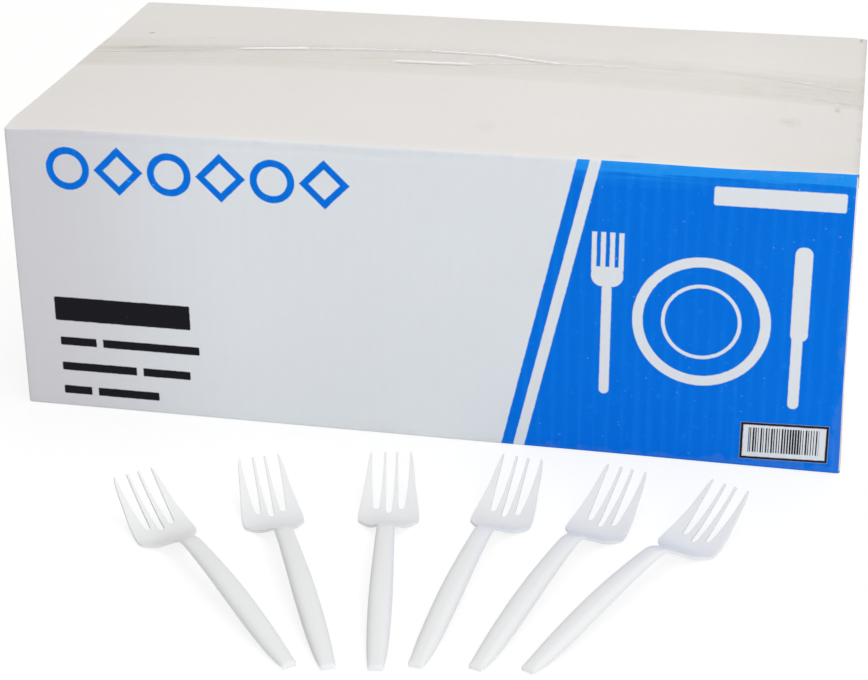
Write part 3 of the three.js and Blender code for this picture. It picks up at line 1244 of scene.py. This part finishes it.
@dataclass(frozen=True)
class Tape:
    """A strip of clear tape over one long seam, with a tab on each end wall."""

    name: str
    node: str
    middle: float
    lid: bool
    carton: Carton
    width: float = 48.0
    thickness: float = 0.12
    lift: float = 0.2
    tab: float = 54.0
    turn_run: float = 0.35
    turn_drop: float = 0.9
    turn_steps: int = 8
    along_step: float = 1.0
    across_steps: int = 48
    askew: float = 0.0
    askew_from: float = -150.0
    askew_run: float = 130.0
    back_from: float = 60.0
    back_run: float = 120.0
    back_share: float = 0.4
    crest_fade: float = 6.0
    crest_start: float = 0.25
    shadow_at: float = 6.5
    shadow_half: float = 5.0
    shadow_from: float = 15.0
    shadow_run: float = 100.0
    shadow_least: float = 0.45
    yellow_from: float = 110.0
    yellow_run: float = 70.0
    front_fades: float = 9.0
    edge_reach: float = 7.0
    finish: FilmFinish = FilmFinish()
    wrinkles: tuple[Wrinkle, ...] = ()

    def route(self) -> list[tuple[float, float, float]]:
        """Half of the tape's line, from the middle out.

        Returns:
            X, Z and the angle that the tape points down by.
        """
        carton = self.carton
        flap_end = carton.length / 2 - self.turn_run
        face = carton.height + self.lift
        wall = carton.length / 2 + self.lift
        tab_top = face - self.turn_drop
        steps = round(flap_end / self.along_step)
        points = [(flap_end * i / steps, face, 0.0) for i in range(steps)]
        for i in range(self.turn_steps):
            t = i / self.turn_steps
            x = lerp(wall, flap_end, (1 - t) ** 2)
            z = lerp(face, tab_top, t * t)
            points.append((x, z, math.atan2(t * (face - tab_top), (1 - t) * (wall - flap_end))))
        bottom = carton.height - self.tab
        count = max(2, round((tab_top - bottom) / (2 * self.along_step)))
        points += [(wall, lerp(tab_top, bottom, i / count), math.pi / 2) for i in range(count + 1)]
        return points

    def ridge(self, x: float, y: float) -> tuple[float, float]:
        """What the wrinkles do at a place.

        Args:
            x: The place along the tape.
            y: The place across it.

        Returns:
            How high they lift the tape and how strong the painted glint is there.
        """
        height = 0.0
        painted_glint = 0.0
        spot = Vector((x, y))
        for wrinkle in self.wrinkles:
            start = Vector(wrinkle.start)
            run = Vector(wrinkle.end) - start
            share = (spot - start).dot(run) / run.length_squared
            held = min(1.0, max(0.0, share))
            away = (spot - start - run * held).length
            fade = smooth(min(held, 1 - held) * self.crest_fade + self.crest_start)
            crest = fade * math.exp(-((away / wrinkle.width) ** 2))
            height += wrinkle.height * crest
            painted_glint = max(painted_glint, wrinkle.painted_glint * crest)
        return height, painted_glint

    def middle_at(self, x: float) -> float:
        """Where the strip's middle runs, because it was laid a little askew.

        Args:
            x: The place along the tape.

        Returns:
            The middle's place across the carton.
        """
        aside = smooth((x - self.askew_from) / self.askew_run)
        back = smooth((x - self.back_from) / self.back_run)
        return self.middle - self.askew * aside * (1 - self.back_share * back)

    def material(self) -> bpy.types.Material:
        """Clear film, yellower in front of the seam, with painted glints along its wrinkles and a painted
        shadow behind the seam.

        Returns:
            The material.
        """
        graph = new_graph(self.name + "_film")
        place = graph.millimetres()
        x, y, _ = graph.axes(place)
        ends = ((abs(x) - self.yellow_from) / self.yellow_run).clamped()
        clouds = graph.noise(place, 16.0, 3.0)
        streaks = graph.noise(graph.stretched(place, (0.05, 1.0, 1.0)), 2.2, 3.0)
        bubbles = graph.noise(place, 3.0, 4.0)
        front = graph.inside(y - self.middle, self.front_fades)
        lean = (y - self.middle - self.shadow_at) / self.shadow_half
        fading = ((self.shadow_from - x) / self.shadow_run).clamped()
        shadow = (1 - lean * lean).clamped() * (self.shadow_least + fading * (1 - self.shadow_least))
        inset = (graph.attribute("inset") / self.edge_reach).clamped()
        opacity = 0.008 + front * 0.03 + ends * 0.02 + shadow * 0.07
        opacity = opacity + ((streaks - 0.5) * 0.14).clamped() + ((clouds - 0.5) * 0.09).clamped()
        opacity = opacity * (0.45 + inset * 0.55)
        # Painted glint: along the wrinkles the film turns white and nearly opaque, standing in for a
        # lamp's reflection
        painted_glint = graph.attribute("painted_glint")
        opacity = opacity + painted_glint * (0.55 + streaks * 0.5)
        height = streaks * 0.35 + clouds * 0.5 + bubbles * 0.03
        colour = graph.mix(graph.most(ends, front), self.finish.clear, self.finish.yellow)
        # Painted glint colour
        colour = graph.mix((painted_glint * 4).clamped(), colour, self.finish.white)
        return graph.surface(
            {
                "Base Color": colour,
                "Roughness": self.finish.roughness + (bubbles - 0.5) * 0.12,
                "Alpha": opacity.clamped(),
                "Normal": graph.bump(height, 0.8),
            }
        )

    def place(self, x: float, z: float, fall: float, share: float) -> Vector:
        """A point on the strip's inner face.

        Args:
            x: The line's place along the carton.
            z: The line's height, as on the lid.
            fall: The angle that the line points down by.
            share: How far across the strip the point lies, from 0 to 1.

        Returns:
            The point in millimetres.
        """
        carton = self.carton
        y = self.middle_at(x) + self.width * (share - 0.5)
        if not self.lid:
            return Vector((x, y, carton.height + self.lift + self.thickness - z))
        if abs(x) < carton.length / 2 - carton.corner:
            lift = self.ridge(x, y)[0]
            x += math.sin(fall) * lift
            z += math.cos(fall) * lift
        if z > carton.height - carton.board - carton.fold:
            z += carton.settle(Vector((x, y, carton.height))).z - carton.height
        return Vector((x, y, z))

    def build(self) -> None:
        half = self.route()
        line = [(-x, z, -fall) for x, z, fall in reversed(half[1:])] + half
        mesh = bmesh.new()

        def place(column: int, row: int) -> Vector:
            """A point of the grid."""
            return self.place(*line[column], row / self.across_steps)

        mapped_grid(mesh, len(line) - 1, self.across_steps, place)
        bmesh.ops.recalc_face_normals(mesh, faces=mesh.faces[:])
        mesh.normal_update()
        centre = min(mesh.faces, key=lambda face: abs(face.calc_center_median().x))
        if (centre.normal.z > 0) != self.lid:
            bmesh.ops.reverse_faces(mesh, faces=mesh.faces[:])
        bmesh.ops.solidify(mesh, geom=mesh.faces[:], thickness=-self.thickness * MM)
        bmesh.ops.recalc_face_normals(mesh, faces=mesh.faces[:])
        # The strength of the painted glint at each point, which the film reads
        painted_glint = mesh.verts.layers.float.new("painted_glint")
        inset = mesh.verts.layers.float.new("inset")
        for vert in mesh.verts:
            x, y, _ = vert.co / MM
            vert[painted_glint] = self.ridge(x, y)[1]
            vert[inset] = self.width / 2 - abs(y - self.middle_at(x))
        declare(finish_piece(self.name, mesh, [self.material()]), "packing_tape", self.node)


# Forks


class Curve:
    """A smooth curve through pairs of a place and a value, with the mean slope at each pair."""

    def __init__(self, *pairs: tuple[float, float]) -> None:
        """Keep the pairs and work out their slopes.

        Args:
            pairs: A place and a value each, in order of place.
        """
        self.pairs = pairs
        spans = [(high - low) / (end - start) for (start, low), (end, high) in pairwise(pairs)]
        beside = zip([spans[0], *spans], [*spans, spans[-1]])
        self.slopes = [(before + after) / 2 for before, after in beside]

    def __call__(self, place: float) -> float:
        """The curve's value.

        Args:
            place: Where it is asked for.

        Returns:
            The value, held level beyond the first and last pair.
        """
        last = len(self.pairs) - 1
        at = next((i for i in range(1, last) if place < self.pairs[i][0]), last)
        (start, low), (end, high) = self.pairs[at - 1], self.pairs[at]
        share = min(1.0, max(0.0, (place - start) / (end - start)))
        lean = (1 - share) * self.slopes[at - 1] - share * self.slopes[at]
        return lerp(low, high, smooth(share)) + share * (1 - share) * (end - start) * lean


@dataclass(frozen=True)
class ForkForm:
    """The moulded shape that all the forks share, along from the end of the handle."""

    length: float = 150.5
    tine: float = 27.9
    middle_slot_extra: float = 2.2
    bowl_from_tip: float = 34.7
    heel_from_tip: float = 38.2
    shoulder_from_tip: float = 47.6
    neck_from_tip: float = 62.8
    handle_widest_at: float = 42.0
    end_rounding: float = 3.0
    end_drop: float = 1.6
    end_lift: float = 0.7
    end_edge: float = 0.3
    head_width: float = 26.2
    neck_width: float = 7.8
    handle_width: float = 9.6
    end_width: float = 6.6
    tip_spread: float = 17.7
    inner_tip_spread: float = 5.2
    tip_width: float = 1.0
    inner_tine_root_width: float = 2.9
    slot_width: float = 2.6
    neck_height: float = 13.2
    tip_height: float = 15.6
    head_thickness: float = 1.2
    wall: float = 1.2
    handle_depth: float = 3.3
    end_depth: float = 1.2
    neck_depth: float = 2.5
    bowl_dish: float = 0.5
    heel_spread: float = 8.5
    heel_settling: float = 0.7
    tine_curve: float = 1.6
    arch_squareness: float = 0.75
    tip_flattening: float = 0.6
    tine_columns: int = 4
    slot_columns: int = 4
    slot_lead: float = 1.6
    edge_width: float = 0.22
    edge_angle: float = 50.0

    @property
    def neck_at(self) -> float:
        """Where the handle is thinnest."""
        return self.length - self.neck_from_tip

    @property
    def shoulder_at(self) -> float:
        """Where the neck starts to widen."""
        return self.length - self.shoulder_from_tip

    @property
    def heel_at(self) -> float:
        """Where the head starts."""
        return self.length - self.heel_from_tip

    @property
    def bowl_at(self) -> float:
        """Where the head lies lowest."""
        return self.length - self.bowl_from_tip

    @property
    def root_at(self) -> float:
        """Where the slots between the tines start."""
        return self.length - self.tine

    def width_curve(self) -> Curve:
        """The fork's full width along it.

        Returns:
            The curve from the handle's end to the tips.
        """
        tips = self.tip_spread + self.tip_width
        return Curve(
            (0.0, 0.74 * self.end_width),
            (self.end_rounding / 3, 0.93 * self.end_width),
            (self.end_rounding, self.end_width),
            (0.32 * self.handle_widest_at, lerp(self.end_width, self.handle_width, 0.6)),
            (self.handle_widest_at, self.handle_width),
            (
                lerp(self.handle_widest_at, self.neck_at, 0.6),
                lerp(self.handle_width, self.neck_width, 0.54),
            ),
            (self.neck_at, self.neck_width),
            (lerp(self.neck_at, self.shoulder_at, 0.45), self.neck_width),
            (self.shoulder_at, lerp(self.neck_width, self.head_width, 0.14)),
            (lerp(self.shoulder_at, self.heel_at, 0.5), lerp(self.neck_width, self.head_width, 0.42)),
            (self.heel_at, 0.85 * self.head_width),
            (lerp(self.heel_at, self.bowl_at, 0.4), 0.955 * self.head_width),
            (self.bowl_at, 0.99 * self.head_width),
            (self.root_at, 0.974 * self.head_width),
            (lerp(self.root_at, self.length, 0.5), lerp(self.head_width, tips, 0.57)),
            (self.length - 1.5 * self.tip_width, tips),
            (self.length, self.tip_spread),
        )

    def depth_curve(self) -> Curve:
        """How deep the arch of the handle is along the fork.

        Returns:
            The curve from the handle's end to the tips.
        """
        return Curve(
            (0.0, self.end_edge),
            (self.end_drop, self.end_depth),
            (self.handle_widest_at / 2, self.handle_depth),
            (self.handle_widest_at, self.handle_depth),
            (self.neck_at, self.neck_depth),
            (self.shoulder_at, self.head_thickness),
            (self.length, self.head_thickness),
        )

    def crown(self, along: float) -> float:
        """The height of the upper face's middle.

        Args:
            along: The place along the fork.

        Returns:
            The height in millimetres.
        """
        if along < self.neck_at:
            rise = math.sin(math.pi / 2 * along / self.neck_at)
            round_end = math.sqrt(max(0.0, 1 - max(0.0, 1 - along / self.end_drop) ** 2))
            return lerp(self.end_depth * round_end + self.end_lift, self.neck_height, rise)
        if along < self.bowl_at:
            share = (along - self.neck_at) / (self.bowl_at - self.neck_at)
            return lerp(self.neck_height, self.head_thickness, smooth(share))
        share = (along - self.bowl_at) / self.bowl_from_tip
        return lerp(self.head_thickness, self.tip_height, share**self.tine_curve)

    def dish(self, along: float) -> float:
        """How much the outer edges of the head stand above its middle.

        Args:
            along: The place along the fork.

        Returns:
            The difference in millimetres.
        """
        rising = (along - self.shoulder_at) / (self.bowl_at - self.shoulder_at)
        falling = min(1.0, max(0.0, (along - self.root_at) / self.tine))
        return self.bowl_dish * smooth(rising) * (1 - self.tip_flattening * falling)

    def tine_sides(self, along: float) -> list[float]:
        """Where the tines' sides lie.

        Args:
            along: The place along the fork.

        Returns:
            The inner tine's two sides and the outer tine's inner side, from the middle.
        """
        radius = self.slot_width / 2
        start = self.root_at + radius
        share = min(1.0, max(0.0, (along - start) / (self.length - start)))
        inner_far = self.slot_width / 2 + self.inner_tine_root_width
        at_root = (radius, inner_far, inner_far + self.slot_width)
        half_tip = self.tip_width / 2
        at_tip = (
            self.inner_tip_spread / 2 - half_tip,
            self.inner_tip_spread / 2 + half_tip,
            self.tip_spread / 2 - half_tip,
        )
        fall = (1 - share) ** self.tine_curve
        return [lerp(tip, root, fall) for root, tip in zip(at_root, at_tip)]


@dataclass(frozen=True)
class PlasticFinish:
    """White moulded polypropylene, satin."""

    base: Colour = (0.762, 0.763, 0.763)
    # The low parts' colour, a little darker and bluer: painted shade with a cool cast
    shaded_hollow: Colour = (0.755, 0.760, 0.768)
    roughness: float = 0.42
    gloss: float = 0.3


class ForkMesh:
    """Builds one fork in its own frame: along Y from the end of the handle, upper face up."""

    def __init__(self, form: ForkForm) -> None:
        """Work out the columns and rows of the upper face.

        Args:
            form: The sizes of the fork.
        """
        self.form = form
        self.width = form.width_curve()
        self.depth = form.depth_curve()
        self.columns = 4 * form.tine_columns + 3 * form.slot_columns
        self.rows = self.stations()

    def stations(self) -> list[float]:
        """Work out the rows.

        Returns:
            The rows' places along the fork.
        """
        form = self.form
        root = form.root_at + form.slot_width / 2
        runs = (
            (0.0, form.end_rounding, 5),
            (form.end_rounding, form.handle_widest_at, 10),
            (form.handle_widest_at, form.neck_at, 11),
            (form.neck_at, form.shoulder_at, 8),
            (form.shoulder_at, form.bowl_at, 12),
            (form.bowl_at, root, 6),
            (root, form.length - 2 * form.tip_width, 14),
            (form.length - 2 * form.tip_width, form.length, 4),
        )
        places = [0.0]
        for start, end, count in runs:
            places += [lerp(start, end, (i + 1) / count) for i in range(count)]
        self.root_row = sum(run[2] for run in runs[:6])
        return places

    def head_column(self, column: int, along: float) -> tuple[float, float]:
        """Where a column crosses the head.

        Args:
            column: The column's number from the left edge.
            along: The place along the fork.

        Returns:
            The distance from the middle, and how far across a slot from -1 to 1, or NO_SLOT.
        """
        form = self.form
        half = self.width(along) / 2
        near, far, outer = form.tine_sides(along)
        edges = [-half, -outer, -far, -near, near, far, outer, half]
        at = column
        for part in range(7):
            is_slot = part % 2 == 1
            count = form.slot_columns if is_slot else form.tine_columns
            if at < count or (at == count and (is_slot or part == 6)):
                if is_slot:
                    share = (1 - math.cos(math.pi * at / count)) / 2
                    return lerp(edges[part], edges[part + 1], share), 2 * share - 1
                return lerp(edges[part], edges[part + 1], at / count), NO_SLOT
            at -= count
        return half, NO_SLOT

    def place(self, column: int, row: int) -> Vector:
        """A point of the upper face.

        Args:
            column: The column's number from the left edge.
            row: The row's number from the handle's end.

        Returns:
            The point in millimetres.
        """
        form = self.form
        along = self.rows[row]
        across_head, slot_share = self.head_column(column, max(along, form.root_at))
        if row <= self.root_row:
            near_root = smooth((along - form.bowl_at) / (form.root_at - form.bowl_at))
            if slot_share < NO_SLOT:
                dip = form.slot_width / 2 * math.sqrt(max(0.0, 1 - slot_share**2))
                if abs(across_head) < form.slot_width / 2 + SAME:
                    dip += form.middle_slot_extra
                along -= dip * near_root**2
            root_half = self.width(form.root_at) / 2
            even = 2 * column / self.columns - 1
            across = lerp(even, across_head / root_half, smooth(near_root * form.slot_lead))
        else:
            across = across_head / (self.width(along) / 2)
        return self.point(across, along)

    def point(self, across: float, along: float) -> Vector:
        """A place on the upper face.

        Args:
            across: The place across the fork, from -1 to 1.
            along: The place along it in millimetres.

        Returns:
            The point in millimetres.
        """
        form = self.form
        half = self.width(along) / 2
        angle = across * math.pi / 2
        crown = form.crown(along)
        arch_x = math.copysign(half * abs(math.sin(angle)) ** form.arch_squareness, across)
        arch_fall = self.depth(along) * (1 - max(0.0, math.cos(angle)) ** form.arch_squareness)
        plate_share = smooth((along - form.neck_at) / (form.heel_at - form.neck_at))
        if along < form.bowl_at:
            aside = smooth((abs(half * across) - 0.5 * form.neck_width) / form.heel_spread)
            crown = lerp(crown, form.head_thickness, aside * form.heel_settling)
        plate_z = crown + form.dish(along) * across * across
        return Vector((
            lerp(arch_x, half * across, plate_share),
            along,
            lerp(crown - arch_fall, plate_z, plate_share),
        ))

    def build(self) -> bmesh.types.BMesh:
        """Build the upper face with its slots open, as a thin plate.

        Returns:
            The mesh.
        """
        mesh = bmesh.new()
        mapped_grid(mesh, self.columns, len(self.rows) - 1, self.place)
        slot_faces = []
        mesh.faces.ensure_lookup_table()
        for index, face in enumerate(mesh.faces):
            column, row = index % self.columns, index // self.columns
            if row >= self.root_row and self.in_slot(column):
                slot_faces.append(face)
        bmesh.ops.delete(mesh, geom=slot_faces, context="FACES")
        bmesh.ops.recalc_face_normals(mesh, faces=mesh.faces[:])
        mesh.normal_update()
        if sum(face.normal.z for face in mesh.faces) < 0:
            bmesh.ops.reverse_faces(mesh, faces=mesh.faces[:])
        return mesh

    def in_slot(self, column: int) -> bool:
        """Whether the faces of a column lie in a slot."""
        group = self.form.tine_columns + self.form.slot_columns
        return column % group >= self.form.tine_columns


@dataclass(frozen=True)
class ForkPlace:
    """Where a fork lies: its handle's end along X and before the carton, and its clockwise turn."""

    along: float
    before: float
    turn: float


@dataclass(frozen=True)
class Forks:
    """The six loose forks in a fan."""

    carton: Carton
    form: ForkForm = ForkForm()
    finish: PlasticFinish = PlasticFinish()
    places: tuple[ForkPlace, ...] = (
        ForkPlace(-8.1, 200.1, -41.5),
        ForkPlace(6.5, 198.7, -25.5),
        ForkPlace(24.3, 196.2, -10.1),
        ForkPlace(38.6, 191.5, 6.4),
        ForkPlace(61.2, 188.8, 15.5),
        ForkPlace(80.8, 186.6, 25.9),
    )

    def material(self) -> bpy.types.Material:
        """Satin white plastic with faint flow marks, and painted shade on its low parts.

        Returns:
            The material.
        """
        graph = new_graph("fork_plastic")
        place = graph.millimetres()
        _, _, z = graph.axes(place)
        flow = graph.noise(place, 14.0, 2.0)
        grain = graph.noise(place, 0.35, 2.0)
        # Painted shade: the parts that lie low, the bowl and the handle's end, take the darker, bluer
        # colour; the flow marks vary it at random
        low = (1 - z / 9).clamped()
        colour = graph.mix(low * 0.45 + (flow - 0.5) * 0.2, self.finish.base, self.finish.shaded_hollow)
        return graph.surface(
            {
                "Base Color": colour,
                "Roughness": self.finish.roughness + (flow - 0.5) * 0.1,
                "Specular IOR Level": self.finish.gloss,
                "Normal": graph.bump(flow * 0.12 + grain * 0.008),
            }
        )

    def build(self) -> None:
        material = self.material()
        for number, place in enumerate(self.places, start=1):
            mesh = ForkMesh(self.form).build()
            node = f"fork_{number}"
            turn = Matrix.Rotation(-math.radians(place.turn), 4, "Z")
            start = Vector((place.along, -self.carton.depth / 2 - place.before, 0)) * MM
            bmesh.ops.transform(mesh, matrix=Matrix.Translation(start) @ turn, verts=mesh.verts[:])
            piece = finish_piece(f"moulded_{node}", mesh, [material])
            self.round_off(piece)
            declare(piece, "white_plastic", node)

    def round_off(self, piece: bpy.types.Object) -> None:
        """Give the plate its wall and soft edges.

        Args:
            piece: The fork's upper face.
        """
        wall = piece.modifiers.new("wall", "SOLIDIFY")
        wall.thickness = self.form.wall * MM
        wall.offset = -1.0
        wall.use_even_offset = True
        edges = piece.modifiers.new("edges", "BEVEL")
        edges.width = self.form.edge_width * MM
        edges.segments = 1
        edges.limit_method = "ANGLE"
        edges.angle_limit = math.radians(self.form.edge_angle)
        skin = piece.modifiers.new("skin", "SUBSURF")
        skin.levels = 1
        skin.render_levels = 1


# Stage


@dataclass(frozen=True)
class Lamp:
    """A soft rectangular lamp: where it hangs, its size in metres, its power and its colour."""

    name: str
    place: tuple[float, float, float]
    size: tuple[float, float]
    power: float
    colour: Colour


@dataclass(frozen=True)
class Studio:
    """The floor, the white surroundings, the lamps and the camera."""

    floor_reach: float = 6.0
    floor_white: Colour = (0.88, 0.88, 0.88)
    floor_glow: float = 1.07
    shadow_share: float = 0.25
    world_level: float = 0.44
    target: tuple[float, float, float] = (0.0, -0.05, 0.07)
    camera_place: tuple[float, float, float] = (0.1851, -0.9682, 0.4502)
    azimuth: float = 11.6096
    elevation: float = 24.4616
    roll: float = -0.4622
    lens: float = 88.70
    sensor: float = 36.0
    nearest: float = 0.01
    farthest: float = 50.0
    lamps: tuple[Lamp, ...] = (
        Lamp("top", (0.5, 0.1, 2.2), (2.4, 1.6), 25.0, (1.03, 1.0, 0.94)),
        Lamp("front", (1.1, -2.3, 1.0), (1.8, 1.4), 30.0, (0.94, 1.0, 1.07)),
        Lamp("back_strip", (-0.1, 1.7, 1.15), (1.6, 0.25), 2.0, (1.0, 1.0, 1.0)),
    )

    def add_floor(self) -> None:
        """Add the white floor, which the camera sees lighter than it is lit."""
        mesh = bmesh.new()
        bmesh.ops.create_grid(mesh, x_segments=2, y_segments=2, size=self.floor_reach)
        graph = new_graph("floor_white")
        inputs = {
            0: graph.seen() * (1 - self.shadow_share),
            1: graph.wire("ShaderNodeBsdfDiffuse", None, {"Color": (*self.floor_white, 1.0)}),
            2: graph.wire("ShaderNodeEmission", None, {"Color": WHITE, "Strength": self.floor_glow}),
        }
        material = graph.show(graph.wire("ShaderNodeMixShader", None, inputs))
        floor = finish_piece("floor", mesh, [material])

    def add_world(self) -> None:
        """Add surroundings that are white to the camera and softer as light."""
        graph = Graph(bpy.data.worlds.new("white_room"))
        level = self.world_level + graph.seen() * (1 - self.world_level)
        background = graph.wire("ShaderNodeBackground", None, {"Color": WHITE, "Strength": level})
        bpy.context.scene.world = graph.show(background)

    def add_lamps(self) -> None:
        """Hang the lamps, each turned to the pack."""
        for lamp in self.lamps:
            light = bpy.data.lights.new(lamp.name, "AREA")
            light.shape = "RECTANGLE"
            light.size, light.size_y = lamp.size
            light.energy = lamp.power
            light.color = lamp.colour
            holder = bpy.data.objects.new(lamp.name, light)
            holder.location = lamp.place
            aim = Vector(self.target) - Vector(lamp.place)
            holder.rotation_euler = aim.to_track_quat("-Z", "Y").to_euler()
            bpy.context.scene.collection.objects.link(holder)

    def add_camera(self) -> None:
        """Place the camera where the photograph was taken from."""
        azimuth = math.radians(self.azimuth)
        elevation = math.radians(self.elevation)
        back = Vector((
            math.sin(azimuth) * math.cos(elevation),
            -math.cos(azimuth) * math.cos(elevation),
            math.sin(elevation),
        ))
        right = Vector((0, 0, 1)).cross(back).normalized()
        up = back.cross(right)
        turn = Matrix((right, up, back)).transposed() @ Matrix.Rotation(math.radians(self.roll), 3, "Z")
        data = bpy.data.cameras.new("camera")
        data.sensor_fit = "HORIZONTAL"
        data.sensor_width = self.sensor
        data.lens = self.lens
        data.clip_start = self.nearest
        data.clip_end = self.farthest
        camera = bpy.data.objects.new("camera", data)
        camera.matrix_world = Matrix.Translation(self.camera_place) @ turn.to_4x4()
        bpy.context.scene.collection.objects.link(camera)
        bpy.context.scene.camera = camera

    def build(self) -> None:
        """Set the stage."""
        bpy.context.scene.view_settings.view_transform = "Standard"
        self.add_camera()
        self.add_floor()
        self.add_world()
        self.add_lamps()


def main() -> None:
    """Build the stage and every piece in order."""
    logging.basicConfig(level=logging.INFO, format="%(name)s: %(message)s")
    LOG.info("the frame has %d nodes", len(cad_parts))
    Studio().build()
    carton = Carton()
    carton.build()
    lid_tape = Tape(
        "clear_lid_tape", "lid_tape", carton.seam_at, True, carton, askew=5.0, wrinkles=LID_WRINKLES
    )
    lid_tape.build()
    base_tape = Tape("clear_base_tape", "base_tape", 0.0, False, carton, along_step=4.0, across_steps=12)
    base_tape.build()
    Forks(carton).build()


if __name__ == "__main__":
    main()
